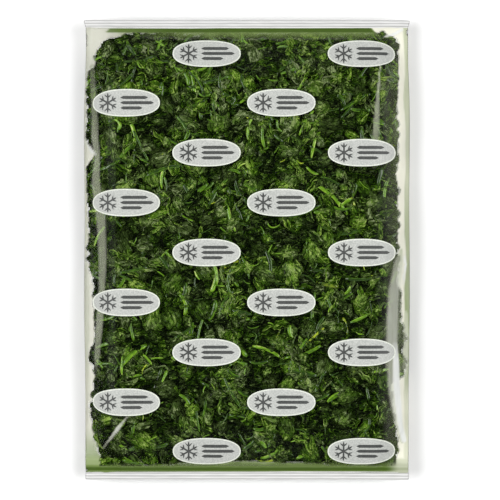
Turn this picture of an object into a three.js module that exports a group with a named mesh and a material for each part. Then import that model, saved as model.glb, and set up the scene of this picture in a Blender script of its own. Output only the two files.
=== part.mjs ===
// Catering bag of frozen chopped spinach: a clear film pillow with a crimped seal across each end,
// lying on its back and filled to the sides. Millimetres, +Z up, X across the bag, Y towards its top.
// The origin is on the table under the middle of the bag.
import * as THREE from "three";

// Driving dimensions of the whole bag
const BAG_WIDTH = 290;
const BAG_LENGTH = 409;
const BAG_THICKNESS = 46;
const RIM_HEIGHT = 17;

// The crimped band across each end: two films welded flat, pressed into ribs that run across the bag
const SEAL_LENGTH = 7.5;
const SEAL_THICKNESS = 1.2;
const SEAL_STEP = 2;
const SEAL_RIBS = 3;
const RIB_DEPTH = 0.6;

// The outline of the film: wider at the top seal, drawn in towards the lower end, slack along the sides
const TOP_SEAL_FLARE = 1.6;
const FLARE_LENGTH = 90;
const BOTTOM_SEAL_INSET = 1.4;
const INSET_LENGTH = 150;
const EDGE_SLACK = 0.6;
const SLACK_PITCH = 145;
const SLACK_START = 40;

// The filling: empty film left flat along the edges, and the shoulders over which the bag fills out
const SIDE_MARGIN = 4.5;
const END_MARGIN = 2.5;
const MARGIN_THICKNESS = 0.8;
const SIDE_SHOULDER = 27;
const END_SHOULDER = 58;
const SHOULDER_BLUNTNESS = 0.8;
const CROWN = 2.2;
const UNDERSIDE_DEPTH = 21;

// Rounded domes where the larger clumps inside press on the film
const LUMP_PITCH = 21;
const LUMP_HEIGHT = 2.4;
const LUMP_RADIUS = { least: 10, most: 15 };
const LOWEST_LUMP = 0.35;

// Long shallow hollows where the filling has settled unevenly
const SAG_HEIGHT = 0.9;
const SAG_PITCH = { across: 258, along: 358, slanting: 459 };
const SAG_SHARE = { straight: 0.3, slanting: 0.2 };

// Gathers in the film that run out from each seal and die away over the shoulder
const GATHER_HEIGHT = 1.3;
const GATHER_PITCH = 23;
const GATHER_START = 9;
const GATHER_REACH = 30;
const GATHER_WANDER = 0.6;
const WANDER_PITCH = 232;

// The film's edge isn't level: it dips and lifts along the sides, and each corner ear curls its own way
const RIM_WAVE = 1.6;
const RIM_WAVE_PITCH = 150;
const RIM_WAVE_SHIFT = 31;
const EAR_CURL = { topLeft: 2.4, topRight: -2.0, bottomLeft: -1.6, bottomRight: 2.8 };

// How finely the skin is divided
const TOP_STEPS = 48;
const UNDER_STEPS = 14;
const BODY_STEPS = 64;
const EDGE_CROWDING = 0.35;

// Colours of the closed bag as it looks from outside, and the size of the patches of light and dark leaf
const FILM_GREY = new THREE.Color("#cfcfcb");
const MARGIN_CREAM = new THREE.Color("#c9c6b8");
const LEAF_DARK = new THREE.Color("#2b3b19");
const LEAF_LIGHT = new THREE.Color("#55742f");
const LEAF_PATCH = 9;

const halfLength = BAG_LENGTH / 2;
const bodyEnd = halfLength - SEAL_LENGTH;
const crownHeight = BAG_THICKNESS - RIM_HEIGHT - LUMP_HEIGHT - SAG_HEIGHT;
const lerp = THREE.MathUtils.lerp;

// A repeatable number from 0 to 1 for one cell of a lattice
function scatter(column, row, kind) {
  const s = Math.sin(column * 127.1 + row * 311.7 + kind * 74.7) * 43758.5453;
  return s - Math.floor(s);
}

function clamp01(t) {
  return Math.min(1, Math.max(0, t));
}

function smooth(t) {
  const s = clamp01(t);
  return s * s * (3 - 2 * s);
}

function wave(distance, pitch) {
  return Math.sin((2 * Math.PI * distance) / pitch);
}

// A rounded shoulder: 0 at the edge, 1 where the bag has filled out
function rise(t) {
  return Math.sin((Math.PI / 2) * Math.pow(clamp01(t), SHOULDER_BLUNTNESS));
}

// Half the width of the film at y
function halfWidth(y) {
  const belowTop = halfLength - y;
  const aboveBottom = halfLength + y;
  const unflared = TOP_SEAL_FLARE * smooth(belowTop / SEAL_LENGTH) * (1 - smooth(belowTop / FLARE_LENGTH));
  const drawnIn = BOTTOM_SEAL_INSET * (1 - smooth(aboveBottom / INSET_LENGTH));
  const alongSide = smooth(belowTop / SLACK_START) * smooth(aboveBottom / SLACK_START);
  const slack = EDGE_SLACK * alongSide * 0.5 * (1 + wave(y, SLACK_PITCH));
  return BAG_WIDTH / 2 - unflared - drawnIn - slack;
}

// Height of the flat edge film above the table, which also carries the seals
function rimHeight(x, y) {
  const outward = Math.pow(Math.abs(x) / halfWidth(y), 3);
  const lengthwise = Math.abs(y) / halfLength;
  const ear = EAR_CURL[(y > 0 ? "top" : "bottom") + (x > 0 ? "Right" : "Left")];
  const curl = ear * Math.pow(lengthwise, 4);
  const dip = RIM_WAVE * wave(y + RIM_WAVE_SHIFT * Math.sign(x), RIM_WAVE_PITCH) * (1 - smooth(lengthwise));
  return RIM_HEIGHT + outward * (curl + dip);
}

// How far the bag has filled out at a point, from 0 on the flat margin and seals to 1 on the face.
// The two shoulders meet in a rounded corner, which leaves the corners of the film flat.
function fullness(x, y) {
  const across = clamp01((halfWidth(y) - SIDE_MARGIN - Math.abs(x)) / SIDE_SHOULDER);
  const along = clamp01((bodyEnd - END_MARGIN - Math.abs(y)) / END_SHOULDER);
  return rise(1 - Math.hypot(1 - across, 1 - along));
}

// The highest dome of a jittered lattice over a point
function lumps(x, y) {
  const column = Math.floor(x / LUMP_PITCH);
  const row = Math.floor(y / LUMP_PITCH);
  let highest = 0;
  for (let i = column - 1; i <= column + 1; i++) {
    for (let j = row - 1; j <= row + 1; j++) {
      const centreX = (i + scatter(i, j, 1)) * LUMP_PITCH;
      const centreY = (j + scatter(i, j, 2)) * LUMP_PITCH;
      const radius = lerp(LUMP_RADIUS.least, LUMP_RADIUS.most, scatter(i, j, 3));
      const height = lerp(LOWEST_LUMP, 1, scatter(i, j, 4));
      const away = Math.hypot(x - centreX, y - centreY) / radius;
      highest = Math.max(highest, height * (1 - smooth(away)));
    }
  }
  return highest * LUMP_HEIGHT;
}

function sag(x, y) {
  const across = wave(x + SAG_PITCH.across / 8, SAG_PITCH.across);
  const along = wave(y + SAG_PITCH.along / 4, SAG_PITCH.along);
  const slanting = wave(x + y, SAG_PITCH.slanting);
  return SAG_HEIGHT * (0.5 + SAG_SHARE.straight * across * along + SAG_SHARE.slanting * slanting);
}

function gathers(x, y) {
  const fromSeal = bodyEnd - Math.abs(y);
  const fade = smooth(fromSeal / GATHER_START) * Math.exp(-fromSeal / GATHER_REACH);
  const wander = GATHER_WANDER * wave(x + Math.sign(y) * GATHER_PITCH, WANDER_PITCH);
  return GATHER_HEIGHT * fade * wave(x + wander * GATHER_PITCH, GATHER_PITCH);
}

// Height of the ribs pressed into a seal; both of its faces follow them
function ribs(y) {
  const intoSeal = (Math.abs(y) - bodyEnd) / SEAL_LENGTH;
  if (intoSeal <= 0 || intoSeal >= 1) return 0;
  return RIB_DEPTH * 0.5 * (1 - Math.cos(2 * Math.PI * SEAL_RIBS * intoSeal));
}

// Half the thickness of the flat film: thin along the margins, thicker where it is welded
function flatHalf(y) {
  const welded = smooth((Math.abs(y) - bodyEnd + SEAL_STEP) / SEAL_STEP);
  return lerp(MARGIN_THICKNESS, SEAL_THICKNESS, welded) / 2;
}

function upperSkin(x, y) {
  const full = fullness(x, y);
  const crown = Math.cos((Math.PI * x) / BAG_WIDTH) * Math.cos((Math.PI * y) / BAG_LENGTH);
  const domed = full * (crownHeight - CROWN * (1 - crown));
  const relief = (lumps(x, y) + sag(x, y)) * smooth(full * 1.2) + gathers(x, y) * full;
  return rimHeight(x, y) + ribs(y) + Math.max(flatHalf(y), domed + relief);
}

// The underside hangs from the rim and lies flat on the table over most of its area
function lowerSkin(x, y) {
  const hanging = fullness(x, y) * (UNDERSIDE_DEPTH - gathers(x, y));
  return Math.max(0, rimHeight(x, y) + ribs(y) - Math.max(flatHalf(y), hanging));
}

// Values from -1 to 1, crowded a little towards both ends
function spread(steps) {
  return Array.from({ length: steps + 1 }, (_, k) => {
    const even = (2 * k) / steps - 1;
    return lerp(even, Math.sin((even * Math.PI) / 2), EDGE_CROWDING);
  });
}

// Where the skin is sectioned along the bag: through each rib of both seals, and down the body
function stations() {
  const ribHalf = SEAL_LENGTH / (2 * SEAL_RIBS);
  const seal = Array.from({ length: 2 * SEAL_RIBS }, (_, k) => halfLength - k * ribHalf);
  const body = spread(BODY_STEPS).map((t) => t * bodyEnd);
  return [...seal.map((y) => -y), ...body, ...seal.reverse()];
}

// One closed section of the bag at y: over the top from left to right, then back underneath
function section(y) {
  const reach = halfWidth(y);
  const over = spread(TOP_STEPS).map((t, k) => {
    const x = t * reach;
    const onEdge = k === 0 || k === TOP_STEPS;
    return new THREE.Vector3(x, y, onEdge ? rimHeight(x, y) + ribs(y) : upperSkin(x, y));
  });
  const under = spread(UNDER_STEPS)
    .slice(1, -1)
    .reverse()
    .map((t) => new THREE.Vector3(t * reach, y, lowerSkin(t * reach, y)));
  return [...over, ...under];
}

// Closes the first or last section; facing is the sign of Y that the end looks towards
function endFaces(ring, offset, facing) {
  const outline = ring.map((p) => new THREE.Vector2(p.x, p.z));
  return THREE.ShapeUtils.triangulateShape(outline, []).map(([a, b, c]) => {
    const turn = THREE.ShapeUtils.area([outline[a], outline[b], outline[c]]);
    return (turn * facing < 0 ? [a, b, c] : [a, c, b]).map((k) => k + offset);
  });
}

// Leaf through the film over the filling, pale empty film along the edges, grey seals
function tint(point) {
  const inSeal = smooth((Math.abs(point.y) - bodyEnd + SEAL_STEP / 2) / SEAL_STEP);
  const filled = smooth(fullness(point.x, point.y) * 4 - 0.6);
  const patch = scatter(Math.round(point.x / LEAF_PATCH), Math.round(point.y / LEAF_PATCH), 5);
  const leaf = LEAF_DARK.clone().lerp(LEAF_LIGHT, patch);
  return MARGIN_CREAM.clone().lerp(leaf, filled).lerp(FILM_GREY, inSeal);
}

function bagGeometry() {
  const rings = stations().map(section);
  const around = rings[0].length;
  const points = rings.flat();
  const faces = [
    ...endFaces(rings[0], 0, -1),
    ...endFaces(rings.at(-1), (rings.length - 1) * around, 1),
  ];
  for (let j = 0; j + 1 < rings.length; j++) {
    for (let k = 0; k < around; k++) {
      const next = (k + 1) % around;
      const [a, b] = [j * around + k, j * around + next];
      const [c, d] = [b + around, a + around];
      faces.push([a, b, c], [a, c, d]);
    }
  }
  const geometry = new THREE.BufferGeometry().setFromPoints(points);
  const colours = points.flatMap((p) => tint(p).toArray());
  geometry.setAttribute("color", new THREE.Float32BufferAttribute(colours, 3));
  geometry.setIndex(faces.flat());
  geometry.computeVertexNormals();
  return geometry;
}

const film = new THREE.MeshStandardMaterial({ vertexColors: true, roughness: 0.3, metalness: 0 });
const bag = new THREE.Mesh(bagGeometry(), film);
bag.name = "bag";

const spinachBag = new THREE.Group();
spinachBag.add(bag);

export default spinachBag;
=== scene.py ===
import math
import random

import bmesh
import bpy
import numpy as np
from mathutils import Matrix, Vector, noise
from mathutils.bvhtree import BVHTree


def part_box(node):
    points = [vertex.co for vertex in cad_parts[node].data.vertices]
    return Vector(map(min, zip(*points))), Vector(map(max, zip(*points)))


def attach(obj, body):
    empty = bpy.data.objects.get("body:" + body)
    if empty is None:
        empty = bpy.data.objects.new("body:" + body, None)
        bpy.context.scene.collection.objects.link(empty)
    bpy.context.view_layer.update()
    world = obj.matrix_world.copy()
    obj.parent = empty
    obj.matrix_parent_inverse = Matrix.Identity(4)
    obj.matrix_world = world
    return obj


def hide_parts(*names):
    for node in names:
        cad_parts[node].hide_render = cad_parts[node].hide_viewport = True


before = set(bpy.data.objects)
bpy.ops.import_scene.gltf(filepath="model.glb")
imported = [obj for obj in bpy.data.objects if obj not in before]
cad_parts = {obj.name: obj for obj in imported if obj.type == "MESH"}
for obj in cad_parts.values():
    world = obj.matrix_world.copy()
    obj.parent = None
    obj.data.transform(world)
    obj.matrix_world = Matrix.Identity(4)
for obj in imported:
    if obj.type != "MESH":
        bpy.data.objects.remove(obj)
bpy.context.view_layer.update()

# The camera hangs straight over the bag, which lies on its back with its top seal away from the
# viewer. It stands far off with a long lens, so the sides of the bag don't show.
MM = 0.001
FRAME_WIDTH = 445 * MM
CAMERA_HEIGHT = 2.6
EDGE_LEVEL = 17 * MM
CAMERA_RIGHT = 2.7 * MM


def placed(name, data):
    """A new object in the scene, made of that data."""
    thing = bpy.data.objects.new(name, data)
    bpy.context.scene.collection.objects.link(thing)
    return thing


camera_data = bpy.data.cameras.new("camera")
camera_data.lens = camera_data.sensor_width * (CAMERA_HEIGHT - EDGE_LEVEL) / FRAME_WIDTH
camera = placed("camera", camera_data)
camera.location = (CAMERA_RIGHT, 0, CAMERA_HEIGHT)
bpy.context.scene.camera = camera
bpy.context.scene.view_settings.view_transform = "Standard"

# Broad soft lamps stand round the table and the room overhead is dim, so the film shows light only
# on its folds and shoulders and the leaf behind it stays dark. A lamp is its turn and height in
# degrees, and its strength.
LAMP_ANGLE = math.radians(40)
LAMPS = [(90, 46, 2.1), (-90, 46, 2.4), (0, 32, 0.5), (180, 32, 0.6)]
ROOM_LIGHT = 0.12

for turn, height, strength in LAMPS:
    lamp_data = bpy.data.lights.new("lamp", "SUN")
    lamp_data.angle = LAMP_ANGLE
    lamp_data.energy = strength
    lamp = placed("lamp", lamp_data)
    lamp.rotation_euler = (math.radians(90 - height), 0, math.radians(turn))

room = bpy.data.worlds.new("room")
room.use_nodes = True
room.node_tree.nodes["Background"].inputs["Color"].default_value = (1, 1, 1, 1)
room.node_tree.nodes["Background"].inputs["Strength"].default_value = ROOM_LIGHT
bpy.context.scene.world = room

# Clear film: one tube of thin polythene, welded shut across both ends and drawn tight over the
# frozen leaf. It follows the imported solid, with finer folds along its sides and behind its seals.
SEAL_LENGTH = 7.5 * MM
FILM_INTO_SEAL = 1.0 * MM
FILM_LEVELS = 2
SHARP_EDGE = math.radians(70)
CRINKLE = 0.09 * MM
PLEAT = 0.55 * MM
FILM_WHITE = (0.85, 0.84, 0.71, 1)
FILM_GREEN = (0.200, 0.280, 0.085, 1)
FILM_GREY = (0.30, 0.31, 0.27, 1)
FILM_BAND = (0.048, 0.090, 0.007, 1)
FILM_CREASE_CLOUD_AND_HIGHLIGHT = (0.79, 0.81, 0.78, 1)
CLEAR_HAZE = 0.0005
CREASE_HEIGHT = 1.1 * MM
NOISE_SEED = 7

noise.seed_set(NOISE_SEED)
_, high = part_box("bag")
half_length = high.y
body_end = half_length - SEAL_LENGTH

# How far the leaf reaches, in millimetres: its left and right sides as places up the bag and across
# it, its bottom and top as places across the bag and up it. Beyond it the two layers of film lie
# together, a little cloudy.
LEFT_REACH = [
    (-191, -132), (-178, -132), (-165, -136), (-150, -140), (-112, -136), (-93, -141), (-78, -136),
    (-36, -137), (-22, -138), (-7, -142.5), (21, -141), (64, -144), (75, -143.5), (85, -135),
    (95, -143.5), (135, -143.5), (159, -142), (163, -136), (178, -134), (186, -129), (192, -114),
]
RIGHT_REACH = [
    (-191, 132), (-178, 136), (-157, 132.5), (-142, 130), (-118, 127.5), (-113, 140), (-104, 143),
    (-92, 139), (-80, 142), (-63, 138), (-36, 137.5), (-30, 134.5), (60, 134), (68, 132),
    (78, 135.5), (118, 133), (135, 134.5), (180, 136), (188, 135), (192, 122),
]
LOW_REACH = [(-135, -193), (-90, -191.5), (0, -187.5), (70, -190.5), (130, -193.5)]
TOP_REACH = [
    (-135, 188), (-112, 191), (-100, 193.5), (-60, 193), (-46, 191), (-36, 193.5), (60, 193),
    (105, 193.5), (120, 194), (137, 192),
]
RAGGED = 1.7 * MM

# How green the hem of the film is at places up the bag, in millimetres
HEM_GREEN = [
    (-205, 0.30), (-130, 0.30), (-105, 0.80), (-60, 0.85), (-20, 0.75), (30, 0.65), (60, 0.45), (205, 0.55),
]
up_bag = np.linspace(-high.y, high.y, 600)
over_bag = np.linspace(-high.x, high.x, 400)

# Creases that catch the light, each a line of points: millimetres across and up the bag, half width
# in millimetres, and cloudiness, which also sets a painted highlight along the crease. A long one runs
# down the left side, and down the right a broad one ends in a white fold. The others are short.
CREASES = [
    [(-138, 163, 2.7, 0.20), (-135, 120, 3.2, 0.30), (-135, 100, 3.9, 0.38), (-132.5, 82, 2.9, 0.38),
     (-134, 60, 4.6, 0.36), (-129, 26, 4.9, 0.37), (-127.7, -12, 4.2, 0.37), (-128.5, -36, 3.3, 0.36),
     (-130.7, -67, 3.8, 0.40), (-133, -96, 2.8, 0.32), (-133.7, -106, 1.4, 0.10)],
    [(117.8, 165, 0.6, 0.45), (116.3, 146, 1.1, 0.42), (115, 132, 1.8, 0.40), (113.8, 105, 3.2, 0.38),
     (113, 92, 3.5, 0.30), (112.5, 75, 3.4, 0.08)],
    [(137, 0, 1.5, 0.36), (134.5, -10, 5.2, 0.44), (130.3, -35, 6.4, 0.49), (128.8, -62, 6.8, 0.51),
     (128.3, -85, 6.6, 0.52), (126, -102, 4.4, 0.34), (127.5, -114, 2.4, 0.20)],
    [(139.5, -3, 0.9, 0.95), (141, -13, 1.3, 0.95), (138.5, -30, 0.9, 0.80)],
    [(127.5, -86, 2.5, 0.30), (128.3, -98, 4.6, 0.46), (128.6, -118, 5.4, 0.50), (131, -138, 4.8, 0.50),
     (134, -156, 3.4, 0.45), (138, -170, 2.0, 0.35)],
    [(130.8, -84, 3.4, 0.62), (132, -98, 3.7, 0.88), (132.3, -118, 4.2, 0.90), (134.3, -138, 3.8, 0.90),
     (136.3, -156, 3.0, 0.90), (139.5, -169, 3.0, 0.78)],
    [(-105.8, -147, 0.8, 0.40), (-113.8, -157.4, 2.2, 0.62), (-121, -167, 1.4, 0.50),
     (-127.5, -175.6, 0.8, 0.25)],
    [(141.5, -56, 2.0, 0.35), (141.5, -75, 3.2, 0.40), (141, -104, 3.6, 0.40), (141, -112, 2.0, 0.30)],
    [(138, 196, 1.6, 0.80), (131, 192, 1.8, 0.85), (123, 190, 1.0, 0.60)],
    [(-143, 96, 0.8, 0.7), (-138, 88, 2.2, 0.75), (-133, 84, 0.8, 0.6)],
]


def smooth_step(low_end, high_end, value):
    """0 at the low end, 1 at the high end, smooth between them. The low end may be the larger."""
    t = np.clip((value - low_end) / (high_end - low_end), 0, 1)
    return t * t * (3 - 2 * t)


def noise_at(points, scale, shift=0.0):
    """Smooth noise from -1 to 1 at an array of points; scale is the size of its lumps."""
    return np.array([noise.noise((x / scale + shift, y / scale, z / scale)) for x, y, z in points])


def ragged(places, shift):
    """How far an edge of the leaf stands out: round lobes with notches between them."""
    along = np.stack([places, 0 * places, 0 * places], axis=1)
    lobes = 3.2 * np.abs(noise_at(along, 10 * MM, shift)) - 0.8
    return RAGGED * (lobes + 0.35 * noise_at(along, 2.8 * MM, shift + 5))


left_line = np.interp(up_bag, *np.array(LEFT_REACH).T * MM) - ragged(up_bag, 1.3)
right_line = np.interp(up_bag, *np.array(RIGHT_REACH).T * MM) + ragged(up_bag, 31.3)
low_line = np.interp(over_bag, *np.array(LOW_REACH).T * MM) - 0.5 * ragged(over_bag, 61.3)
top_line = np.interp(over_bag, *np.array(TOP_REACH).T * MM) + ragged(over_bag, 91.3)
left_line = np.maximum(left_line, -high.x + 0.8 * MM)


def beyond(x, y):
    """How far places lie outside the leaf's reach to the left, right, bottom and top, in metres."""
    left, right = np.interp(y, up_bag, left_line), np.interp(y, up_bag, right_line)
    below, above = np.interp(x, over_bag, low_line), np.interp(x, over_bag, top_line)
    return left - x, x - right, below - y, y - above


def merged_bag():
    """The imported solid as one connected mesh, in quads."""
    solid = bmesh.new()
    solid.from_mesh(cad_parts["bag"].data)
    bmesh.ops.remove_doubles(solid, verts=solid.verts, dist=0.01 * MM)
    bmesh.ops.join_triangles(
        solid, faces=solid.faces, angle_face_threshold=math.pi, angle_shape_threshold=math.pi
    )
    return solid


def cut_across(solid, y, keep_towards):
    """Cuts the mesh at y, keeps the part on that side and closes the cut."""
    everything = solid.verts[:] + solid.edges[:] + solid.faces[:]
    bmesh.ops.bisect_plane(
        solid, geom=everything, dist=0.001 * MM, plane_co=(0, y, 0),
        plane_no=(0, -keep_towards, 0), clear_outer=True,
    )
    rim = [e for e in solid.edges if e.is_boundary]
    bmesh.ops.holes_fill(solid, edges=rim, sides=0)


def as_mesh(form, name):
    """Turns the form into a mesh of that name, and frees it."""
    mesh = bpy.data.meshes.new(name)
    form.to_mesh(mesh)
    form.free()
    return mesh


def subdivided(solid, name, levels):
    """A new object from the mesh, rounded by subdivision that keeps its sharp edges."""
    crease = solid.edges.layers.float.new("crease_edge")
    for edge in solid.edges:
        if len(edge.link_faces) == 2 and edge.calc_face_angle() > SHARP_EDGE:
            edge[crease] = 1
    piece = placed(name, as_mesh(solid, name))
    rounding = piece.modifiers.new("rounding", "SUBSURF")
    rounding.levels = rounding.render_levels = levels
    bpy.context.view_layer.update()
    seen = piece.evaluated_get(bpy.context.evaluated_depsgraph_get())
    piece.data = bpy.data.meshes.new_from_object(seen)
    piece.modifiers.clear()
    piece.data.name = name
    piece.data.shade_smooth()
    return piece


def read_points(mesh, what="co"):
    """The mesh's vertex places or normals as an array."""
    found = np.zeros(len(mesh.vertices) * 3)
    if what == "co":
        mesh.vertices.foreach_get("co", found)
    else:
        mesh.vertex_normals.foreach_get("vector", found)
    return found.reshape(-1, 3)


def add_values(mesh, name, values):
    """Stores one number for each vertex, for the material to read."""
    layer = mesh.attributes.new(name, "FLOAT", "POINT")
    layer.data.foreach_set("value", np.asarray(values, np.float32))


def near_line(points, line):
    """How near each point is to a crease, 1 in its middle to 0 at its half width, and its cloudiness."""
    nearest, cloud = np.zeros(len(points)), np.zeros(len(points))
    for (ax, ay, a_width, a_cloud), (bx, by, b_width, b_cloud) in zip(line, line[1:]):
        a, b = np.array([ax, ay]) * MM, np.array([bx, by]) * MM
        along = np.clip(((points - a) @ (b - a)) / ((b - a) @ (b - a)), 0, 1)
        away = np.linalg.norm(points - a - along[:, None] * (b - a), axis=1)
        near = 1 - away / ((a_width + (b_width - a_width) * along) * MM)
        cloud = np.where(near > nearest, a_cloud + (b_cloud - a_cloud) * along, cloud)
        nearest = np.maximum(nearest, near)
    return np.clip(nearest, 0, 1), cloud


solid = merged_bag()
for end in (1, -1):
    cut_across(solid, end * (body_end + FILM_INTO_SEAL), -end)
film = subdivided(solid, "clear_film", FILM_LEVELS)

points = read_points(film.data)
outward = read_points(film.data, "normal")
fine = noise_at(points * (1, 0.35, 1), 5 * MM, 3.1)
pleats = noise_at(points * (0.35, 1, 1), 8 * MM, 7.7)
from_side = high.x - np.abs(points[:, 0])
from_seal = body_end - np.abs(points[:, 1])
on_shoulder = smooth_step(30 * MM, 8 * MM, from_side) * smooth_step(1 * MM, 5 * MM, from_side)
by_seal = smooth_step(34 * MM, 8 * MM, from_seal) * smooth_step(0, 5 * MM, from_seal)
body = smooth_step(0, 4 * MM, from_seal) * smooth_step(0.5 * MM, 4 * MM, from_side)
seal_pleats = noise_at(points * (1, 0.15, 0.4), 6 * MM, 1.9)
relief = CRINKLE * fine * body + PLEAT * (pleats * on_shoulder + seal_pleats * by_seal)
for line in CREASES:
    near, cloud = near_line(points[:, :2], line)
    relief += CREASE_HEIGHT * cloud * near ** 0.7 * (outward[:, 2] > 0)
points += outward * relief[:, None]
film.data.vertices.foreach_set("co", points.ravel())
film.data.update()
outward = read_points(film.data, "normal")


class UnderFilm:
    """Heights of the film over and under any place on the bag, read once on a lattice."""

    STEP = 1.5 * MM

    def __init__(self, mesh):
        tree = BVHTree.FromPolygons([v.co for v in mesh.vertices], [p.vertices[:] for p in mesh.polygons])
        self.nx = int(2 * high.x / self.STEP) + 2
        self.ny = int(2 * high.y / self.STEP) + 2
        self.upper = np.full((self.nx, self.ny), EDGE_LEVEL)
        self.lower = np.full((self.nx, self.ny), EDGE_LEVEL)
        for i in range(self.nx):
            for j in range(self.ny):
                place = Vector((-high.x + i * self.STEP, -high.y + j * self.STEP, 0))
                down = tree.ray_cast(place + Vector((0, 0, 1)), Vector((0, 0, -1)))[0]
                up = tree.ray_cast(place - Vector((0, 0, 1)), Vector((0, 0, 1)))[0]
                if down is not None and up is not None:
                    self.upper[i, j] = down.z
                    self.lower[i, j] = up.z

    def read(self, heights, x, y):
        """Heights at any places, blended between the lattice's points."""
        u = np.clip((x + high.x) / self.STEP, 0, self.nx - 1.001)
        v = np.clip((y + high.y) / self.STEP, 0, self.ny - 1.001)
        i, j = u.astype(int), v.astype(int)
        u, v = u - i, v - j
        near = heights[i, j] * (1 - u) + heights[i + 1, j] * u
        far = heights[i, j + 1] * (1 - u) + heights[i + 1, j + 1] * u
        return near * (1 - v) + far * v

    def top(self, x, y):
        return self.read(self.upper, x, y)

    def bottom(self, x, y):
        return self.read(self.lower, x, y)

    def depth(self, x, y):
        return self.top(x, y) - self.bottom(x, y)


inside = UnderFilm(film.data)

# The film is cloudy where no leaf lies behind it, and a little misty on its right shoulder. Green
# shows in the hem down each side and in the lower left corner.
MARGIN_HAZE = 0.56
MORE_ON_RIGHT = 0.24
MIST_HAZE = 0.30
CORNER_HAZE = 0.92
HEM_WIDTH = 5.5 * MM
HEM_WANDER = 2.4 * MM

x, y = points[:, 0], points[:, 1]
past = np.max(beyond(x, y), axis=0)
on_front = outward[:, 2] > 0
on_right = smooth_step(-0.1, 0.1, x)
patchy = 0.5 + 0.5 * noise_at(points, 26 * MM, 5.5)
empty = smooth_step(-0.4 * MM, 1.0 * MM, past)
haze = CLEAR_HAZE + empty * (MARGIN_HAZE + MORE_ON_RIGHT * on_right) * (0.85 + 0.3 * patchy)
misty = smooth_step(118 * MM, 138 * MM, x) * np.clip(1.7 * patchy - 0.35, 0, 1) * on_front
haze = np.maximum(haze, MIST_HAZE * misty)
hem_noise = noise_at(points * (0, 1, 0), 30 * MM, 3.3)
hem = smooth_step(HEM_WIDTH, 4.0 * MM, from_side + HEM_WANDER * hem_noise)
hem_places, hem_greens = np.array(HEM_GREEN).T
hem_green = np.interp(y, hem_places * MM, hem_greens)
hem *= (0.35 + 0.65 * on_right) * hem_green * smooth_step(-1 * MM, 1 * MM, past)
low_corner = smooth_step(-150 * MM, -184 * MM, y) * smooth_step(-112 * MM, -120 * MM, x) * (past > 0)
green = np.maximum(0.8 * smooth_step(0, 0.4, misty) * (past < 0), np.maximum(hem, 0.85 * low_corner))

# Creases make the film cloudy and streaked, the cloudiest ones white; this milky white is partly the
# film's own and partly a painted highlight where the creases catch the light. A thin line marks its edge.
CREASE_GREEN = 0.8
EDGE_HAZE = 0.55
EDGE_LINE = 1.6 * MM

streaked = 0.55 + 0.45 * noise_at(points * (1, 0.12, 1), 1.6 * MM, 8.4)
folded = np.zeros(len(points))
for line in CREASES:
    near, cloud = near_line(points[:, :2], line)
    cloudy = smooth_step(0, 0.5, near) * on_front
    # The cloudiest creases are tinted near white: partly the film's own whitening, partly a painted
    # highlight.
    folded = np.maximum(folded, cloudy * smooth_step(0.3, 0.8, cloud))
    haze = haze + (np.maximum(haze, cloud * (0.75 + 0.30 * streaked)) - haze) * cloudy
    green = green * (1 - cloudy) + CREASE_GREEN * (1 - cloud) * cloudy
edge_line = smooth_step(EDGE_LINE, 0.5 * MM, from_side)
haze = np.maximum(haze, EDGE_HAZE * edge_line * (from_seal > 0))

# By each seal the film is veiled in pale green and ends in a narrow dark green band. At the top both
# stop short of the corners, along a slant, and the upper left corner is dull.
TOP_VEIL = 0.58
LOW_VEIL = 0.60
BAND_HAZE = 0.95
MOST_HAZE = 0.97
TOP_BAND = 3.9 * MM
LOW_BAND = 4.9 * MM

wander = 2.2 * MM * noise_at(points * (1, 0, 0), 12 * MM, 2.2)
slanted = smooth_step(118 * MM, 115 * MM, np.abs(x + 6 * MM) - 0.9 * from_seal)
top_veil = TOP_VEIL * smooth_step(11 * MM, 4 * MM, from_seal + wander) * slanted
top_veil *= smooth_step(-110 * MM, -40 * MM, x)
low_start = from_seal + wander + 2.2 * MM * smooth_step(-50 * MM, -90 * MM, x)
low_veil = LOW_VEIL * smooth_step(9.5 * MM, 4.5 * MM, low_start)
right_end = smooth_step(122 * MM, 136 * MM, x) * (y < 0)
veil = np.where(y > 0, top_veil, low_veil)
in_veil = smooth_step(0, 0.15, veil) * (1 - 0.6 * right_end)
by_top_band = smooth_step(9 * MM, 6 * MM, from_seal) * slanted
by_top_band *= smooth_step(-124 * MM, -104 * MM, x) * (y > 0)
by_low_band = smooth_step(13 * MM, 10 * MM, from_seal) * (y < 0)
green = np.maximum(green, np.maximum(0.85 * by_top_band, in_veil))
green = np.maximum(green, by_low_band * (0.9 - 0.5 * right_end))
top_band = smooth_step(TOP_BAND, 3.1 * MM, from_seal) * slanted
top_band *= 0.7 + 0.3 * smooth_step(-118 * MM, -60 * MM, x)
low_band = smooth_step(LOW_BAND, 3.4 * MM, from_seal) * smooth_step(0.2 * MM, 1.0 * MM, from_seal)
low_shade = np.maximum(low_band, 0.45 * smooth_step(0, 0.5, low_veil)) * (1 - 0.5 * right_end)
dark_band = np.where(y > 0, top_band, low_shade)
green = np.maximum(green, np.minimum(1, 1.5 * top_band) * (y > 0))
haze = np.maximum(haze, np.maximum(veil, CORNER_HAZE * low_corner * smooth_step(-174 * MM, -187 * MM, y)))
haze = haze + (BAND_HAZE - haze) * np.minimum(1, 1.6 * np.where(y > 0, top_band, low_band))
add_values(film.data, "haze", np.clip(haze, 0, MOST_HAZE))
add_values(film.data, "green", green)
add_values(film.data, "shade", dark_band)
add_values(film.data, "folded", folded)
dull = 0.75 * smooth_step(-112 * MM, -122 * MM, x) * smooth_step(140 * MM, 160 * MM, y) * (1 - top_band)
add_values(film.data, "edge", np.maximum(edge_line, dull))


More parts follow.
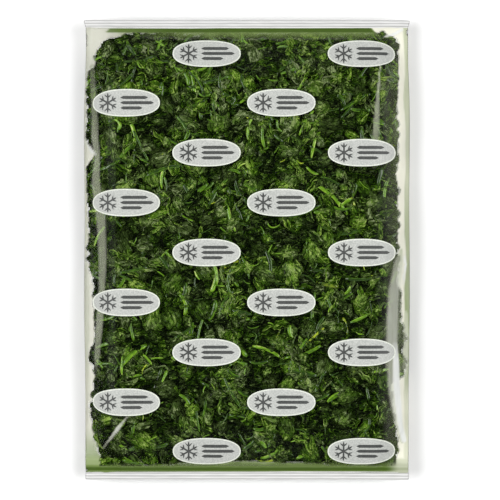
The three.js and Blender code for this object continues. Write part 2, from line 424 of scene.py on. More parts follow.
class Wire:
    """One output of a shader node. Sums and products of wires and numbers add Math nodes."""

    def __init__(self, tree, socket=None):
        self.tree, self.socket = tree, socket

    def make(self, kind, settings=None, sockets=None, output=0):
        node = self.tree.nodes.new("ShaderNode" + kind)
        for name, value in (settings or {}).items():
            if name == "stops":
                ramp = node.color_ramp.elements
                while len(ramp) < len(value):
                    ramp.new(0.5)
                for stop, (place, colour) in zip(ramp, value):
                    stop.position, stop.color = place, colour
            else:
                setattr(node, name, value)
        for name, value in (sockets or {}).items():
            if isinstance(value, Wire):
                self.tree.links.new(value.socket, node.inputs[name])
            else:
                node.inputs[name].default_value = value
        return Wire(self.tree, node.outputs[output] if node.outputs else None)

    def math(self, operation, first, second=0.0):
        return self.make("Math", {"operation": operation}, {0: first, 1: second})

    def __add__(self, other):
        return self.math("ADD", self, other)

    __radd__ = __add__

    def __mul__(self, other):
        return self.math("MULTIPLY", self, other)

    __rmul__ = __mul__

    def __sub__(self, other):
        return self.math("SUBTRACT", self, other)

    def __rsub__(self, other):
        return self.math("SUBTRACT", other, self)

    def between(self, start, end):
        """0 at start, 1 at end, smooth in between."""
        settings = {"interpolation_type": "SMOOTHSTEP"}
        return self.make("MapRange", settings, {"Value": self, "From Min": start, "From Max": end})

    def blend(self, first, second):
        """The first colour where this is 0, the second where it is 1."""
        return self.make("Mix", {"data_type": "RGBA"}, {0: self, 6: first, 7: second}, 2)


def new_material(name):
    """An empty material, and a wire to build its nodes from."""
    material = bpy.data.materials.new(name)
    material.use_nodes = True
    material.node_tree.nodes.clear()
    return material, Wire(material.node_tree)


def finish_material(start, surface):
    start.make("OutputMaterial", {}, {"Surface": surface})


def stored(start, name):
    return start.make("Attribute", {"attribute_name": name}, {}, 2)


def grain(start, place, size, detail=3.0):
    """Noise with lumps of that size in metres."""
    return start.make("TexNoise", {}, {"Vector": place, "Scale": 1 / size, "Detail": detail})


def bumps(start, height, depth, strength):
    return start.make("Bump", {}, {"Strength": strength, "Distance": depth, "Height": height})


def opaque(start, colour, roughness, relief, more=None):
    """A surface that light doesn't pass through; more holds its other sockets."""
    sockets = {"Base Color": colour, "Roughness": roughness, "Normal": relief}
    return start.make("BsdfPrincipled", {}, {**sockets, **(more or {})})


clear, start = new_material("clear_film")
place = start.make("TexCoord", {}, {}, 3)
long_place = start.make("Mapping", {}, {"Vector": place, "Scale": (1, 0.25, 1)})
haze = stored(start, "haze")
tint = stored(start, "green").blend(FILM_WHITE, FILM_GREEN)
tint = stored(start, "folded").blend(tint, FILM_CREASE_CLOUD_AND_HIGHLIGHT)
tint = stored(start, "shade").blend(tint, FILM_BAND)
tint = (stored(start, "edge") * 0.55).blend(tint, FILM_GREY)
crinkles = grain(start, long_place, 3 * MM, 2.0)
relief = bumps(start, crinkles, 0.3 * MM, 0.10)
milky = opaque(start, tint, 0.45, relief, {"Specular IOR Level": 0.15})
gloss = start.make("BsdfGlossy", {}, {"Color": (1, 1, 1, 1), "Roughness": 0.2, "Normal": relief})
see_through = start.make("BsdfTransparent", {}, {"Color": (0.985, 0.99, 0.98, 1)})
thin = start.make("MixShader", {}, {0: haze, 1: see_through, 2: milky})
mirror = start.make("LayerWeight", {}, {"Blend": 0.08}, 0) * (1 - stored(start, "edge") * 0.85)
finish_material(start, start.make("MixShader", {}, {0: mirror, 1: thin, 2: gloss}))
film.data.materials.clear()
film.data.materials.append(clear)
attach(film, "root")
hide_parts("bag")

# Heat seals: across each end hot jaws have welded both layers of film into a pale grey band and
# pressed three ribs into it from side to side. The light and dark stripes that follow the ribs are
# painted light and shade.
SEAL_LIGHT = (0.74, 0.74, 0.73, 1)
SEAL_DARK = (0.40, 0.40, 0.39, 1)
SEAL_RIBS = 3
SEAL_PROUD = 0.15 * MM
SEAL_LEVELS = 2


def seal_material():
    material, start = new_material("crimped_seal")
    place = start.make("TexCoord", {}, {}, 3)
    along = start.make("SeparateXYZ", {}, {"Vector": place}, 1)
    # Painted light and shade: pale and grey stripes that follow the ribs.
    rib_shading = start.math("SINE", along * (2 * math.pi / (SEAL_LENGTH / SEAL_RIBS)) + 0.9) * 0.5 + 0.5
    smeared = start.make("Mapping", {}, {"Vector": place, "Scale": (0.05, 1, 1)})
    streaks = grain(start, smeared, 0.9 * MM, 2.0)
    tone = (rib_shading * 0.65 + streaks * 0.7 - 0.2).between(0, 1)
    colour = tone.blend(SEAL_DARK, SEAL_LIGHT)
    relief = bumps(start, streaks, 0.3 * MM, 0.3)
    finish_material(start, opaque(start, colour, streaks * 0.2 + 0.3, relief))
    return material


crimped = seal_material()
for end, name in ((1, "top_seal"), (-1, "bottom_seal")):
    solid = merged_bag()
    cut_across(solid, end * body_end, end)
    seal = subdivided(solid, name, SEAL_LEVELS)
    swollen = read_points(seal.data) + SEAL_PROUD * read_points(seal.data, "normal")
    seal.data.vertices.foreach_set("co", swollen.ravel())
    seal.data.update()
    seal.data.materials.clear()
    seal.data.materials.append(crimped)
    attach(seal, "root")

# Printed marks: pale oval labels in staggered rows, front and back, each with a fine light rim,
# a dark ice crystal and dark bars. They are ink on the film, so they are thin skins that follow it.
ROW_PITCH = 44 * MM
FIRST_ROW = 173.8 * MM
ROWS = 9
EVEN_COLUMNS = (-35.6 * MM, 101.5 * MM)
ODD_COLUMNS = (-106.8 * MM, 30.3 * MM)
LABEL_LENGTH = 58 * MM
LABEL_HEIGHT = 22 * MM
LABEL_SQUARENESS = 2.3
RIM_WIDTH = 1.1 * MM
INK_HEIGHTS = {"rim": 0.25 * MM, "label": 0.34 * MM, "mark": 0.43 * MM}
INK_INSIDE = 0.55 * MM
CRYSTAL_RADIUS = 8.2 * MM
CRYSTAL_PLACE = -16 * MM
ARM_THICK = 1.5 * MM
FORK_THICK = 1.2 * MM
BAR_ROWS = ((4.6 * MM, 22 * MM), (0, 27 * MM), (-4.6 * MM, 17 * MM))
BAR_START = -3.5 * MM
BAR_THICK = 2.7 * MM
INK_STEP = 1.3 * MM


def label_places():
    """The middle of each label: two to a row, every other row shifted sideways."""
    for row in range(ROWS):
        for column in EVEN_COLUMNS if row % 2 == 0 else ODD_COLUMNS:
            yield Vector((column, FIRST_ROW - row * ROW_PITCH, 0))


def oval(length, height):
    """A squarish oval skin, divided finely enough to bend over the film."""
    skin = bmesh.new()
    steps = int(length / INK_STEP)
    bmesh.ops.create_grid(skin, x_segments=steps, y_segments=int(steps * height / length), size=1)
    for vert in skin.verts:
        u, v = vert.co.x, vert.co.y
        reach = max(abs(u), abs(v))
        if reach > 0:
            angle = math.atan2(v, u)
            round_reach = (abs(math.cos(angle)) ** LABEL_SQUARENESS
                           + abs(math.sin(angle)) ** LABEL_SQUARENESS) ** (-1 / LABEL_SQUARENESS)
            u, v = reach * round_reach * math.cos(angle), reach * round_reach * math.sin(angle)
        vert.co = Vector((u * length / 2, v * height / 2, 0))
    return skin


def bar(skin, start, end, thick):
    """Adds a straight bar with both ends rounded to the skin."""
    a, b = Vector(start), Vector(end)
    steps = max(2, int((b - a).length / INK_STEP))
    made = bmesh.ops.create_grid(skin, x_segments=steps, y_segments=2, size=1)["verts"]
    turn = Matrix.Rotation(math.atan2(b.y - a.y, b.x - a.x), 4, "Z")
    for vert in made:
        along = vert.co.x * ((b - a).length / 2)
        across = vert.co.y * thick / 2
        rounding = 1 if abs(vert.co.x) < 0.999 or abs(vert.co.y) < 0.5 else 0.55
        along += math.copysign(thick / 2, along) * (abs(vert.co.x) > 0.999) * (abs(vert.co.y) < 0.5)
        vert.co = (a + b) / 2 + turn @ Vector((along, across * rounding, 0))


def marks():
    """The dark drawing on one label: a six-armed ice crystal and three bars."""
    skin = bmesh.new()
    centre = Vector((CRYSTAL_PLACE, 0, 0))
    for arm in range(6):
        way = Matrix.Rotation(math.radians(60 * arm + 30), 4, "Z")
        bar(skin, centre, centre + way @ Vector((CRYSTAL_RADIUS, 0, 0)), ARM_THICK)
        for side in (1, -1):
            fork = centre + way @ Vector((CRYSTAL_RADIUS * 0.55, 0, 0))
            tip = centre + way @ Vector((CRYSTAL_RADIUS * 0.86, side * CRYSTAL_RADIUS * 0.32, 0))
            bar(skin, fork, tip, FORK_THICK)
    for height, length in BAR_ROWS:
        bar(skin, (BAR_START, height, 0), (BAR_START + length, height, 0), BAR_THICK)
    return skin


def printed(name, skin, lift, material):
    """Copies the skin to every label's place on the front and back, laid on the film."""
    flat_skin = as_mesh(skin, name)
    everything = bmesh.new()
    for place in label_places():
        for side in (1, -1):
            count = len(everything.verts)
            everything.from_mesh(flat_skin)
            everything.verts.ensure_lookup_table()
            fresh = everything.verts[count:]
            for vert in fresh:
                vert.co = Vector((vert.co.x * side + place.x, vert.co.y + place.y, 0))
            around = np.array([v.co[:] for v in fresh])
            if side > 0:
                heights = inside.top(around[:, 0], around[:, 1]) + lift
            else:
                heights = inside.bottom(around[:, 0], around[:, 1]) + INK_INSIDE - lift
            for vert, height in zip(fresh, heights):
                vert.co.z = height
    bpy.data.meshes.remove(flat_skin)
    mesh = as_mesh(everything, name)
    mesh.shade_smooth()
    mesh.materials.append(material)
    ink = placed(name, mesh)
    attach(ink, "root")


def ink_material(name, dark, light, roughness):
    """Ink that lies a little unevenly: mottled between two close tones."""
    material, start = new_material(name)
    place = start.make("TexCoord", {}, {}, 3)
    mottle = grain(start, place, 1.2 * MM, 4.0).between(0.35, 0.65)
    colour = mottle.blend(dark, light)
    relief = bumps(start, mottle, 0.1 * MM, 0.2)
    finish_material(start, opaque(start, colour, mottle * 0.15 + roughness, relief))
    return material


printed("label_rims", oval(LABEL_LENGTH + 2 * RIM_WIDTH, LABEL_HEIGHT + 2 * RIM_WIDTH), INK_HEIGHTS["rim"],
        ink_material("light_ink", (0.60, 0.63, 0.55, 1), (0.74, 0.77, 0.69, 1), 0.5))
printed("labels", oval(LABEL_LENGTH, LABEL_HEIGHT), INK_HEIGHTS["label"],
        ink_material("pale_ink", (0.38, 0.395, 0.37, 1), (0.50, 0.51, 0.48, 1), 0.55))
printed("label_marks", marks(), INK_HEIGHTS["mark"],
        ink_material("dark_ink", (0.030, 0.033, 0.030, 1), (0.060, 0.064, 0.060, 1), 0.5))

# The imported leaf: a frozen block of chopped and blanched leaf fills the bag from side to side. Its
# two faces are lumpy and creased, with painted shade where they fall away from the film: in their
# creases, between the clumps and over the whole block, which shows only in the gaps.
BED_STEP = 1.28 * MM
BACK_STEP = 1.9 * MM
CLUMP = 15 * MM
BED_GAP = 1.3 * MM
CREVICE = 4.6 * MM
FOLD = 1.9 * MM
SWELL = 2.2 * MM
LEAST_DEPTH = 1.2 * MM
MOST_SUNK = 0.42

# Leaf greens: from the painted shade of deep creases at the bottom to pale tops that are painted glints on
# wet ridges.
FRESH_GREENS = [
    (0.0, (0.0006, 0.0035, 0.0001, 1)),
    (0.28, (0.010, 0.029, 0.0005, 1)),
    (0.58, (0.040, 0.096, 0.0040, 1)),
    (0.85, (0.115, 0.230, 0.0140, 1)),
    (1.0, (0.290, 0.420, 0.080, 1)),
]
DULL_GREENS = [
    (0.0, (0.0010, 0.0028, 0.0002, 1)),
    (0.28, (0.012, 0.023, 0.0030, 1)),
    (0.58, (0.045, 0.073, 0.0160, 1)),
    (0.85, (0.110, 0.165, 0.0480, 1)),
    (1.0, (0.260, 0.320, 0.150, 1)),
]
PALER_UPWARDS = 0.12


def leaf_material(name, shift, dull_shift, texture=1.0):
    """Wet blanched leaf: mottled greens with painted shade in its creases and painted highlights on its
    ridges, with pleats along its own grain.

    Shift makes it paler, dull_shift greyer, and texture says how much its fine pattern shows.
    """
    material, start = new_material(name)
    place = start.make("TexCoord", {}, {}, 3)
    flow = start.make("Attribute", {"attribute_name": "flow"}, {}, 1)
    long_flow = start.make("Mapping", {}, {"Vector": flow, "Scale": (0.38, 1, 1)})
    tone = stored(start, "tone")
    fold = stored(start, "fold")
    blotch = grain(start, flow, 7 * MM, 2.0)
    speck = grain(start, flow, 1.5 * MM, 2.5)
    broad_ridges = wrinkles(start, long_flow, 4.4 * MM, 0.045)
    fine_ridges = wrinkles(start, long_flow, 2.3 * MM, 0.060)
    # Ridges paint thin pale lines that stand for glints on wet folds; gaps paint thin dark lines of shade.
    ridges = broad_ridges * 0.9 + fine_ridges * 0.6
    gaps = wrinkles(start, long_flow, 3.1 * MM, 0.055)
    fine = speck * 0.56 + ridges * 0.56 - gaps * 0.50
    # Painted light and shade: the fold value lightens ridge tops and darkens low folds and crevices.
    level = tone * 0.42 + blotch * 0.42 + fold * 0.68 + fine * texture - 0.500 + shift
    level = level + start.make("SeparateXYZ", {}, {"Vector": place}, 1) * PALER_UPWARDS
    in_patches = grain(start, place, 10 * MM, 1.0)
    dullness = start.math("FRACT", tone * 7.0) * 0.6 + in_patches * 0.9 - 0.25 + dull_shift
    dullness = dullness.between(0.2, 0.8)
    level = level - dullness * 0.10
    fresh = start.make("ValToRGB", {"stops": FRESH_GREENS}, {"Fac": level})
    dull = start.make("ValToRGB", {"stops": DULL_GREENS}, {"Fac": level})
    colour = dullness.blend(fresh, dull)
    height = ridges + speck * 1.2 - gaps
    glint = speck.between(0.50, 0.70) * fold.between(0.20, 0.70) * 0.35
    relief = bumps(start, height, 1.2 * MM, 1.0)
    wet = {"Specular IOR Level": 0.03, "Coat Weight": glint, "Coat Roughness": 0.18}
    finish_material(start, opaque(start, colour, speck * 0.3 + 0.12, relief, wet))
    return material


def wrinkles(start, place, size, width):
    """Thin wandering ridges about that far apart, 1 on a ridge and 0 beside it."""
    swirl = start.make("TexNoise", {}, {"Vector": place, "Scale": 0.6 / size, "Detail": 1.0}, 1)
    pull = 1.1 * size
    settings = {"operation": "MULTIPLY_ADD"}
    warped = start.make("VectorMath", settings, {0: swirl, 1: (pull, pull, pull), 2: place})
    level = start.make("TexNoise", {}, {"Vector": warped, "Scale": 1 / size, "Detail": 0.5})
    return start.math("ABSOLUTE", level - 0.5).between(width, 0.0)


def creased(x, y, z=0.0, shift=0.0):
    """Wandering folds of a crumpled leaf, from 0 in a crease to 1 on a ridge, at three sizes."""
    where = Vector((x + shift, y, z))
    bend = noise.noise_vector(where / (9 * MM)) * (2.2 * MM)
    where = where + bend
    broad = abs(noise.noise(where / (6.5 * MM)))
    small = abs(noise.noise(where / (3.1 * MM)))
    return min(1.0, 1.15 * broad + 0.75 * small)


def leaf_bed(name, step, face_up):
    """One face of the block: a fine grid laid under the film, cut to a ragged edge and closed behind."""
    bed = bmesh.new()
    columns, rows = int(2 * high.x / step), int(2 * body_end / step)
    bmesh.ops.create_grid(bed, x_segments=columns, y_segments=rows, size=1)
    for vert in bed.verts:
        vert.co = Vector((vert.co.x * high.x, vert.co.y * body_end, 0))
    flat_places = np.array([v.co[:] for v in bed.verts])
    x, y = flat_places[:, 0], flat_places[:, 1]
    depth = inside.depth(x, y)
    outside = (np.max(beyond(x, y), axis=0) > 0) | (depth < LEAST_DEPTH)
    clumps = [noise.voronoi((px / CLUMP + 3 * face_up, py / CLUMP, 0))[0] for px, py, _ in flat_places]
    nearest, second = np.array(clumps).T[:2]
    gap = np.clip((second - nearest) / 0.22, 0, 1)
    folds = np.array([creased(px, py, 0, 0.4 * face_up) for px, py, _ in flat_places])
    swell = 0.5 + 0.5 * noise_at(flat_places, 17 * MM, 6.2)
    crevices = CREVICE * (1 - smooth_step(0, 1, gap)) * (0.4 + 0.6 * swell)
    sunk = BED_GAP + crevices + FOLD * (1 - folds) + SWELL * swell
    sunk = np.minimum(sunk, MOST_SUNK * depth)
    z = inside.top(x, y) - sunk if face_up > 0 else inside.bottom(x, y) + sunk * 0.6
    for vert, height in zip(bed.verts, z):
        vert.co.z = height
    tone = bed.verts.layers.float.new("tone")
    fold = bed.verts.layers.float.new("fold")
    # Painted shade: the fold value falls in the creases and towards the gaps between clumps.
    for vert, t, f, g in zip(bed.verts, swell, folds, gap):
        vert[tone] = 0.25 + 0.35 * t
        vert[fold] = f * (0.25 + 0.75 * g)
    dropped = [v for v, out in zip(bed.verts, outside) if out]
    bmesh.ops.delete(bed, geom=dropped, context="VERTS")
    loose = [v for v in bed.verts if not v.link_faces]
    bmesh.ops.delete(bed, geom=loose, context="VERTS")
    rim = [e for e in bed.edges if e.is_boundary]
    wall = bmesh.ops.extrude_edge_only(bed, edges=rim)["geom"]
    for vert in (g for g in wall if isinstance(g, bmesh.types.BMVert)):
        place_x, place_y = np.array([vert.co.x]), np.array([vert.co.y])
        room = float(inside.depth(place_x, place_y)[0])
        middle = float(inside.bottom(place_x, place_y)[0]) + room / 2
        vert.co.z = middle - min(0.5 * MM, 0.1 * room) * face_up
        vert[fold] = 0.4
    bmesh.ops.holes_fill(bed, edges=[e for e in bed.edges if e.is_boundary], sides=0)
    bmesh.ops.triangulate(bed, faces=[f for f in bed.faces if len(f.verts) > 4])
    bmesh.ops.recalc_face_normals(bed, faces=bed.faces)
    mesh = as_mesh(bed, name)
    mesh.shade_smooth()
    add_flow(mesh, read_points(mesh))
    return mesh


def add_flow(mesh, places):
    """Stores the places that the grain of each point is drawn at, for the material to read."""
    layer = mesh.attributes.new("flow", "FLOAT_VECTOR", "POINT")
    layer.data.foreach_set("vector", places.astype(np.float32).ravel())


def add_piece(name, mesh, material):
    mesh.materials.append(material)
    piece = placed(name, mesh)
    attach(piece, "root")


# The block is seen only in the gaps between pieces, so its greens are shifted darker: painted shade.
packed_leaf = leaf_material("packed_leaf", -0.12, 0.0)
add_piece("leaf_block_front", leaf_bed("leaf_block_front", BED_STEP, 1), packed_leaf)
add_piece("leaf_block_back", leaf_bed("leaf_block_back", BACK_STEP, -1), packed_leaf)

# Wads of leaf: whole leaves and halves, crumpled into wrinkled lumps by blanching, pressed flat
# against the film. A few shapes, turned and stretched, make all of them.
BIG_WADS = 150
SMALL_WADS = 360
WAD_SHAPES = 9
PRESS = 0.35 * MM
LAYERS = 1.3 * MM
OVERHANG = 1.8 * MM
LEAF_SLACK = 1.3 * MM
BACK_SHARE = 0.12


class Shape:
    """A small closed mesh as arrays: its points, its faces and how high each point stands on a fold, which
    the materials paint as shade low down and light on top.

    Flow is the places that its grain is drawn at.
    """

    def __init__(self, points, faces, fold, flow=None):
        self.points, self.faces, self.fold = points, faces, fold
        self.flow = points if flow is None else flow


def as_shape(form, fold):
    """Reads the form into a shape, ready to be copied many times, and frees it."""
    bmesh.ops.triangulate(form, faces=form.faces)
    form.verts.ensure_lookup_table()
    points = np.array([v.co[:] for v in form.verts])
    faces = np.array([[v.index for v in f.verts] for f in form.faces])
    form.free()
    return Shape(points, faces, np.array(fold))


def wad_shape(divisions, seed):
    """A crumpled ball of leaf about 1 across its half width, with lobes and lengthwise creases.

    Its rim counts as low, so that it falls away from the film and is painted in shade; its ridges are
    painted light.
    """
    form = bmesh.new()
    bmesh.ops.create_icosphere(form, subdivisions=divisions, radius=1)
    folds = []
    for vert in form.verts:
        where = vert.co + Vector((seed * 7.3, 0, 0))
        warp = where * Vector((0.5, 1, 1)) + 0.30 * noise.noise_vector(where * 1.2)
        lobes = noise.noise(where * 1.1)
        broad = abs(noise.noise(warp * 2.1))
        small = abs(noise.noise(warp * 4.3 + Vector((3, 1, 2))))
        ridge = min(1.0, 1.2 * broad + 0.8 * small)
        vert.co *= 0.70 + 0.34 * lobes + 0.42 * ridge
        rim = smooth_step(0.50, 0.95, math.hypot(vert.co.x, vert.co.y))
        folds.append(min(1.0, ridge * 1.1 + 0.08) * (1 - 0.80 * rim))
    return as_shape(form, folds)


def scattered(count, seed, spacing, weight=None):
    """Places spread over the filled part of the bag, no two nearer than the spacing."""
    draw = random.Random(seed)
    taken = []
    cells = {}
    for _ in range(count * 60):
        x = draw.uniform(-high.x, high.x)
        y = draw.uniform(-body_end, body_end)
        if weight is not None and draw.random() > weight(x, y):
            continue
        if max(beyond(x, y)) > 3 * MM:
            continue
        cell = (int(x // spacing), int(y // spacing))
        around = [(cell[0] + i, cell[1] + j) for i in (-1, 0, 1) for j in (-1, 0, 1)]
        near = [place for other in around for place in cells.get(other, [])]
        if any((x - px) ** 2 + (y - py) ** 2 < spacing ** 2 for px, py in near):
            continue
        cells.setdefault(cell, []).append((x, y))
        taken.append((x, y))
        if len(taken) == count:
            break
    return taken


def tucked(points, ridges, face_up, slack, under):
    """Presses points under the film: what would stand through it is flattened, with its folds left.

    Under is how far the piece lies below the foremost ones.
    """
    x, y = points[:, 0], points[:, 1]
    wanted = PRESS + under + slack * (1 - ridges)
    most = 0.45 * inside.depth(x, y) + 0.01 * MM
    tight = wanted * most / (wanted + most)
    if face_up:
        points[:, 2] = np.minimum(points[:, 2], inside.top(x, y) - tight)
        points[:, 2] = np.maximum(points[:, 2], inside.bottom(x, y) + 0.3 * tight)
    else:
        points[:, 2] = np.minimum(points[:, 2], inside.top(x, y) - 0.3 * tight)
        points[:, 2] = np.maximum(points[:, 2], inside.bottom(x, y) + 1.5 * tight)
    return points


def drawn_in(points):
    """Moves a whole piece back, so that it stands out of the leaf's reach by no more than the overhang."""
    past = [side.max() - OVERHANG for side in beyond(points[:, 0], points[:, 1])]
    out = np.abs(points[:, 0]).max() - (high.x - 1.2 * MM)
    side = 0 if points[0, 0] < 0 else 1
    past[side] = max(past[side], out)
    left, right, below, above = (max(0, far) for far in past)
    return points + np.array((left - right, below - above, 0))


def heap(name, shapes, poses, material, slack):
    """Joins copies of the shapes, one for each pose in turn, into a single mesh under the film."""
    all_points, all_faces, tones, folds, flows = [], [], [], [], []
    offset = 0
    for k, (size, matrix, tone, face_up) in enumerate(poses):
        shape = shapes[k % len(shapes)]
        turn = np.array(matrix)
        points = shape.points * size @ turn[:3, :3].T + turn[:3, 3]
        points = tucked(drawn_in(points), shape.fold, face_up, slack, LAYERS * (tone * 13 % 1))
        all_points.append(points)
        all_faces.append(shape.faces + offset)
        tones.append(np.full(len(points), tone))
        folds.append(shape.fold)
        flows.append(shape.flow * size + 2 * tone)
        offset += len(points)
    points, faces = np.concatenate(all_points), np.concatenate(all_faces)
    mesh = bpy.data.meshes.new(name)
    mesh.vertices.add(len(points))
    mesh.vertices.foreach_set("co", points.ravel())
    mesh.loops.add(len(faces) * 3)
    mesh.loops.foreach_set("vertex_index", faces.ravel())
    mesh.polygons.add(len(faces))
    mesh.polygons.foreach_set("loop_start", np.arange(0, len(faces) * 3, 3))
    mesh.update(calc_edges=True)
    mesh.shade_smooth()
    add_values(mesh, "tone", np.concatenate(tones))
    add_values(mesh, "fold", np.concatenate(folds))
    add_flow(mesh, np.concatenate(flows))
    add_piece(name, mesh, material)


def lying(draw, x, y, sunk, tilt, face_up):
    """A place on the face of the block: turned at random, leaning a little and sunk under the film."""
    place_x, place_y = np.array([x]), np.array([y])
    if face_up:
        z = inside.top(place_x, place_y)[0] - sunk
    else:
        z = inside.bottom(place_x, place_y)[0] + sunk
    turn = Matrix.Rotation(draw.uniform(0, 2 * math.pi), 4, "Z")
    lean = Matrix.Rotation(draw.gauss(0, tilt), 4, "X") @ Matrix.Rotation(draw.gauss(0, tilt), 4, "Y")
    return Matrix.Translation((x, y, z)) @ turn @ lean


def drifting(x, y):
    """Bright pieces lie in loose drifts: more of them in some parts of the bag than in others."""
    drift = noise.noise((x / (30 * MM), y / (30 * MM), 8.0))
    return min(1.0, max(0.05, 0.36 + 1.8 * drift + 1.2 * y))


def wad_poses(count, seed, spacing, radii, settled, weight=None, back_share=BACK_SHARE):
    """Size, place, tone and face for each wad; settled is how far it lies back under drifts of leaf."""
    draw = random.Random(seed)
    for k, (x, y) in enumerate(scattered(count, seed, spacing, weight)):
        face_up = k >= count * back_share
        radius = draw.uniform(*radii)
        length = radius * draw.uniform(0.85, 1.25)
        width = radius * draw.uniform(0.75, 1.0)
        height = radius * draw.uniform(0.42, 0.6)
        sunk = height * draw.uniform(0.55, 1.15) + settled * drifting(x, y)
        yield (length, width, height), lying(draw, x, y, sunk, 0.25, face_up), draw.random(), face_up


shapes = [wad_shape(4, k) for k in range(WAD_SHAPES)]
poses = wad_poses(
    BIG_WADS, seed=11, spacing=17 * MM, radii=(8.5 * MM, 13 * MM), settled=3.0 * MM, back_share=0,
)
wet_leaf = leaf_material("wet_leaf", 0.20, 0.12, 0.65)
heap("leaf_wads_large", shapes, poses, wet_leaf, LEAF_SLACK)
shapes = [wad_shape(3, 20 + k) for k in range(WAD_SHAPES)]
poses = wad_poses(
    SMALL_WADS, seed=12, spacing=8 * MM, radii=(4.2 * MM, 8 * MM), settled=0.8 * MM, weight=drifting,
)
green_leaf = leaf_material("green_leaf", 0.08, 0.0)
heap("leaf_wads_small", shapes, poses, green_leaf, LEAF_SLACK)

# Crumpled leaves and leaf scraps: cut pieces of leaf, well under a millimetre thick, crumpled and
# folded over as they froze.
CRUMPLED = 270
CRUMPLED_SHAPES = 12
SCRAPS = 440
SCRAP_SHAPES = 14
SCRAP_SLACK = 0.8 * MM
LEAF_THICK = 0.06


def crumpled_shape(columns, rows, seed):
    """A cut piece of leaf about 1 across its half length, waved and pleated, one edge turned up."""
    form = bmesh.new()
    fold = form.verts.layers.float.new("fold")
    bmesh.ops.create_grid(form, x_segments=columns, y_segments=rows, size=1)
    shift = seed * 3.7
    for vert in form.verts:
        u, v = vert.co.x, vert.co.y
        width = (1 - 0.65 * abs(u) ** 3) * (0.9 + 0.5 * noise.noise((u * 1.8, shift, 0)))
        sway = 0.8 * noise.noise((u * 1.1, shift, 5))
        waves = noise.noise((u * 1.6, v * 0.8, shift))
        pleat = math.cos(4.6 * v + 3.5 * noise.noise((u * 1.4, v * 0.7, shift + 9)) + seed)
        turned_up = max(0.0, v - 0.45)
        turned_down = max(0.0, -0.4 - v)
        # The fold value paints the pleat tops and the turned-up edge lighter and the turned-down edge
        # darker: painted light and shade.
        standing = 0.26 + 0.34 * pleat + 0.9 * turned_up + 0.25 * waves - 0.4 * turned_down
        vert[fold] = min(1.0, max(0.0, standing))
        ends = 1 + 0.25 * noise.noise((v * 2.1, shift, 3))
        vert.co = Vector((u * ends, v * width + sway, 0.28 * pleat + 0.5 * waves + 1.1 * turned_up))
    form.normal_update()
    behind = bmesh.ops.extrude_face_region(form, geom=form.faces[:], use_keep_orig=True)["geom"]
    for vert in (g for g in behind if isinstance(g, bmesh.types.BMVert)):
        vert.co -= LEAF_THICK * vert.normal
    bmesh.ops.recalc_face_normals(form, faces=form.faces)
    folds = [v[fold] for v in form.verts]
    return as_shape(form, folds)


def crumpled_poses(count, seed, spacing, halves, widths, most_sunk):
    """Size, place, tone and face for each piece: its half length and its width as a share of that."""
    draw = random.Random(seed)
    for k, (x, y) in enumerate(scattered(count, seed, spacing, drifting)):
        face_up = k >= count * BACK_SHARE
        half = draw.uniform(*halves)
        size = (half, half * draw.uniform(*widths), half * 0.32)
        sunk = draw.uniform(0.3, 1.0) * most_sunk
        yield size, lying(draw, x, y, sunk, 0.35, face_up), draw.random(), face_up


shapes = [crumpled_shape(12, 10, 40 + k) for k in range(CRUMPLED_SHAPES)]
poses = crumpled_poses(
    CRUMPLED, seed=16, spacing=8 * MM, halves=(7 * MM, 13 * MM), widths=(0.35, 0.75), most_sunk=3.6 * MM,
)
crumpled_leaf = leaf_material("crumpled_leaf", 0.06, -0.05)
heap("crumpled_leaves", shapes, poses, crumpled_leaf, LEAF_SLACK)
shapes = [crumpled_shape(10, 6, 70 + k) for k in range(SCRAP_SHAPES)]
poses = crumpled_poses(
    SCRAPS, seed=13, spacing=5 * MM, halves=(3.5 * MM, 8 * MM), widths=(0.25, 0.55), most_sunk=3.2 * MM,
)
scrap_leaf = leaf_material("scrap_leaf", 0.12, -0.12)
heap("leaf_scraps", shapes, poses, scrap_leaf, SCRAP_SLACK)

# Stalks: cut lengths of leaf stalk, bright green and juicy, grooved down one side, straight or bent.
# Shreds are thin curled strips of the same. Lengths and widths are the least, the most and the usual.
STALKS = 380
STALK_LENGTHS = (8 * MM, 40 * MM, 16 * MM)
STALK_WIDTHS = (2.0 * MM, 5.5 * MM, 2.8 * MM)
SHREDS = 340
SHRED_LENGTHS = (4 * MM, 18 * MM, 7 * MM)
SHRED_WIDTHS = (0.9 * MM, 2.0 * MM, 1.4 * MM)
STALK_SHAPES = 8
STALK_SLACK = 0.4 * MM
STALK_DARK = (0.016, 0.042, 0.003, 1)
STALK_MID = (0.074, 0.170, 0.007, 1)
STALK_LIGHT = (0.190, 0.365, 0.018, 1)
STALK_PALE = (0.420, 0.520, 0.130, 1)
STALK_YELLOW = (0.340, 0.430, 0.030, 1)
# The palest stop, reached where the fold and string values run highest, is a painted highlight.
STALK_GREENS = [(0.0, STALK_DARK), (0.42, STALK_MID), (0.86, STALK_LIGHT), (1.0, STALK_PALE)]


def stalk_material(name, shift):
    """Blanched stalk: bright green with paler strings along it, painted shade in its groove and painted
    light down one side.
    """
    material, start = new_material(name)
    flow = start.make("Attribute", {"attribute_name": "flow"}, {}, 1)
    strings = start.make("Mapping", {}, {"Vector": flow, "Scale": (0.2, 1, 1)})
    tone = stored(start, "tone")
    fold = stored(start, "fold")
    blotch = grain(start, flow, 4 * MM, 2.0)
    speck = grain(start, strings, 0.9 * MM, 2.0)
    level = tone * tone * 0.75 + blotch * 0.90 + speck * 0.80 + fold * 0.80 - 1.19 + shift
    colour = start.make("ValToRGB", {"stops": STALK_GREENS}, {"Fac": level})
    ripe = start.math("FRACT", tone * 29.0).between(0.95, 0.98) * blotch.between(0.40, 0.60)
    colour = ripe.blend(colour, STALK_YELLOW)
    relief = bumps(start, speck, 0.3 * MM, 0.3)
    finish_material(start, opaque(start, colour, speck * 0.25 + 0.12, relief, {"Specular IOR Level": 0.4}))
    return material


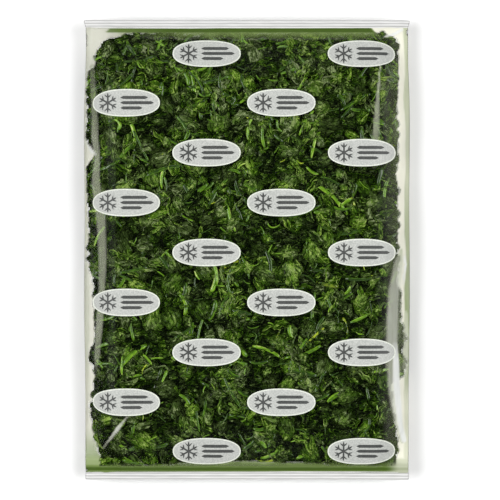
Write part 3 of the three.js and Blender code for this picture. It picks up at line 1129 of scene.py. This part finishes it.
def stalk_shape(sides, steps, seed, groove):
    """A rod 2 long and 2 across, tapering a little, with a groove along its upper side and torn ends."""
    form = bmesh.new()
    bmesh.ops.create_cone(form, cap_ends=True, segments=sides, radius1=1, radius2=0.8, depth=2)
    lengthwise = [e for e in form.edges if abs(e.verts[0].co.z - e.verts[1].co.z) > 1]
    bmesh.ops.subdivide_edges(form, edges=lengthwise, cuts=steps - 1)
    draw = random.Random(seed)
    strings = [draw.uniform(-0.30, 0.25) for _ in range(sides)]
    folds = []
    for vert in form.verts:
        t, angle = vert.co.z, math.atan2(vert.co.y, vert.co.x)
        dent = max(0.0, math.cos(angle - math.pi / 2)) ** 2
        uneven = (1 + 0.30 * noise.noise((t * 1.7, angle * 0.3, seed))) * (1 - 0.45 * abs(t) ** 9)
        radius = math.hypot(vert.co.x, vert.co.y) * (1 - groove * dent) * uneven
        string = strings[int(angle / (2 * math.pi) * sides + 0.5) % sides]
        # Painted light and shade: the groove is darker and one side lighter than the other.
        folds.append(min(1.0, max(0.0, 0.30 + 0.30 * (1 - dent) + 0.22 * math.cos(angle) + string)))
        vert.co = Vector((t, radius * math.cos(angle), radius * math.sin(angle) * 0.8))
    return as_shape(form, folds)


def bent(base, half, girth, turn, hook):
    """The rod at its real size, bent in its own plane, more at one end than at the other."""
    steps = np.linspace(-1, 1, 41)
    turns = turn * (steps + 0.5 * hook * steps ** 2)
    run = half * np.cumsum(np.cos(turns)) * (steps[1] - steps[0])
    bow = half * np.cumsum(np.sin(turns)) * (steps[1] - steps[0])
    t, across, up = base.points[:, 0], girth * base.points[:, 1], girth * base.points[:, 2]
    angle = np.interp(t, steps, turns)
    along = np.interp(t, steps, run - run[20]) - across * np.sin(angle)
    aside = np.interp(t, steps, bow - bow[20]) + across * np.cos(angle)
    flow = np.stack([half * t, across, up], axis=1)
    return Shape(np.stack([along, aside, up], axis=1), base.faces, base.fold, flow)


def stalk_heap(name, shapes, places, seed, lengths, widths, most_bend, material):
    """Stalks of many lengths and bends at the places, the first few of them on the back."""
    draw = random.Random(seed)
    all_shapes, poses = [], []
    for k, (x, y) in enumerate(places):
        face_up = k >= len(places) * BACK_SHARE
        half = draw.triangular(*lengths) / 2
        girth = draw.triangular(*widths) / 2
        turn, hook = draw.gauss(0, most_bend), draw.uniform(-1, 1)
        all_shapes.append(bent(shapes[k % len(shapes)], half, girth, turn, hook))
        sunk = girth * 0.8 + draw.uniform(0.2, 2.6) * MM
        poses.append(((1, 1, 1), lying(draw, x, y, sunk, 0.08, face_up), draw.random(), face_up))
    heap(name, all_shapes, poses, material, STALK_SLACK)


shapes = [stalk_shape(8, 7, 60 + k, 0.45) for k in range(STALK_SHAPES)]
places = scattered(STALKS, 14, 5.5 * MM, drifting)
stalk_heap("stalks", shapes, places, 14, STALK_LENGTHS, STALK_WIDTHS, 0.45, stalk_material("stalk", 0.0))
shapes = [stalk_shape(5, 9, 80 + k, 0.2) for k in range(STALK_SHAPES)]
places = scattered(SHREDS, 15, 4.5 * MM)
stalk_heap("shreds", shapes, places, 15, SHRED_LENGTHS, SHRED_WIDTHS, 0.6, stalk_material("shred", -0.06))

# The table: a plain matt white top, far larger than the bag.
TABLE_RADIUS = 14
table_form = bmesh.new()
bmesh.ops.create_circle(table_form, cap_ends=True, segments=96, radius=TABLE_RADIUS)
table = placed("table", as_mesh(table_form, "table"))
matt, start = new_material("matt_white")
place = start.make("TexCoord", {}, {}, 3)
tone = grain(start, place, 0.4, 2.0).blend((0.905, 0.905, 0.905, 1), (0.925, 0.925, 0.925, 1))
finish_material(start, start.make("BsdfPrincipled", {}, {"Base Color": tone, "Roughness": 0.8}))
table.data.materials.append(matt)
